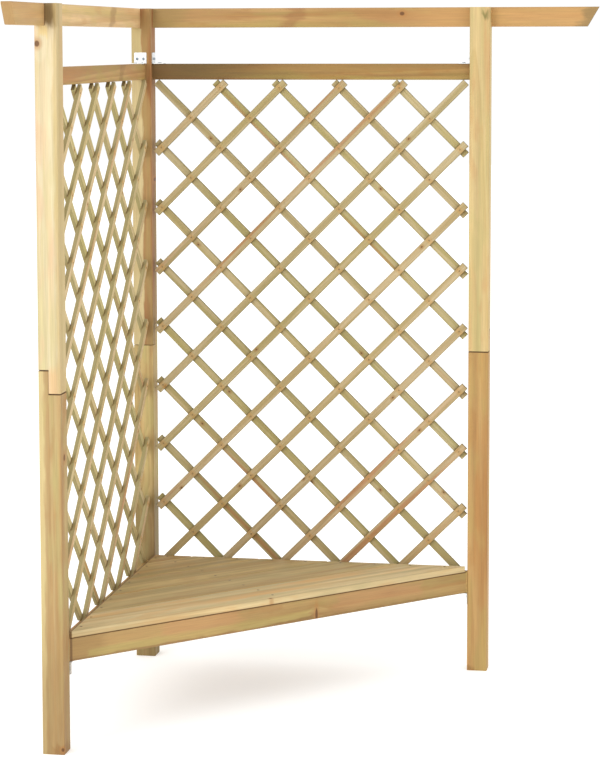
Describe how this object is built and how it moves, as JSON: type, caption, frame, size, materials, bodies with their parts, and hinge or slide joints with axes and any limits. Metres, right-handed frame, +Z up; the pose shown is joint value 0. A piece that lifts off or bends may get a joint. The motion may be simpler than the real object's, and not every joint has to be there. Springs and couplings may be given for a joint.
{
  "type": "corner arbour seat",
  "caption": "Corner garden arbour seat in treated pine: posts in an L, trellis panels between them, slanted-end top beams and a triangular bench across the corner.",
  "frame": {"origin": "middle of the bounding box, on the floor", "axes": "+Z up, the right panel runs along +X and the left panel along -Y from the rear corner post, and the sitter looks out towards +X and -Y"},
  "size_m": [1.408, 1.38, 2],
  "materials": {
    "post_upper_wood": "planed pale sapwood, matt",
    "post_lower_wood": "planed tan pine, matt",
    "beam_wood": "planed orange-brown pine, matt",
    "lath_wood": "sawn greenish treated pine, matt",
    "apron_wood": "planed tan pine, matt",
    "board_wood": "planed greyish treated pine, matt",
    "zinc": "zinc plated, satin"
  },
  "bodies": {
    "root": {"front_post_upper": "post_upper_wood", "rear_post_upper": "post_upper_wood", "right_post_upper": "post_upper_wood", "front_post_lower": "post_lower_wood", "rear_post_lower": "post_lower_wood", "right_post_lower": "post_lower_wood", "left_top_beam": "beam_wood", "right_top_beam": "beam_wood", "left_mid_rail": "beam_wood", "right_mid_rail": "beam_wood", "left_seat_rail": "beam_wood", "right_seat_rail": "beam_wood", "left_trellis_room_laths": "lath_wood", "left_trellis_outer_laths": "lath_wood", "right_trellis_room_laths": "lath_wood", "right_trellis_outer_laths": "lath_wood", "seat_apron": "apron_wood", "left_seat_ledger": "apron_wood", "right_seat_ledger": "apron_wood", "seat_centre_bearer": "apron_wood", "seat_board_1": "board_wood", "seat_board_2": "board_wood", "seat_board_3": "board_wood", "seat_board_4": "board_wood", "seat_board_5": "board_wood", "mid_rail_brackets": "zinc", "seat_rail_brackets": "zinc", "mid_rail_bracket_screws": "zinc", "seat_rail_bracket_screws": "zinc", "beam_screws": "zinc", "splice_screws": "zinc", "seat_board_screws": "zinc", "seat_ledger_screws": "zinc"}
  },
  "joints": []
}
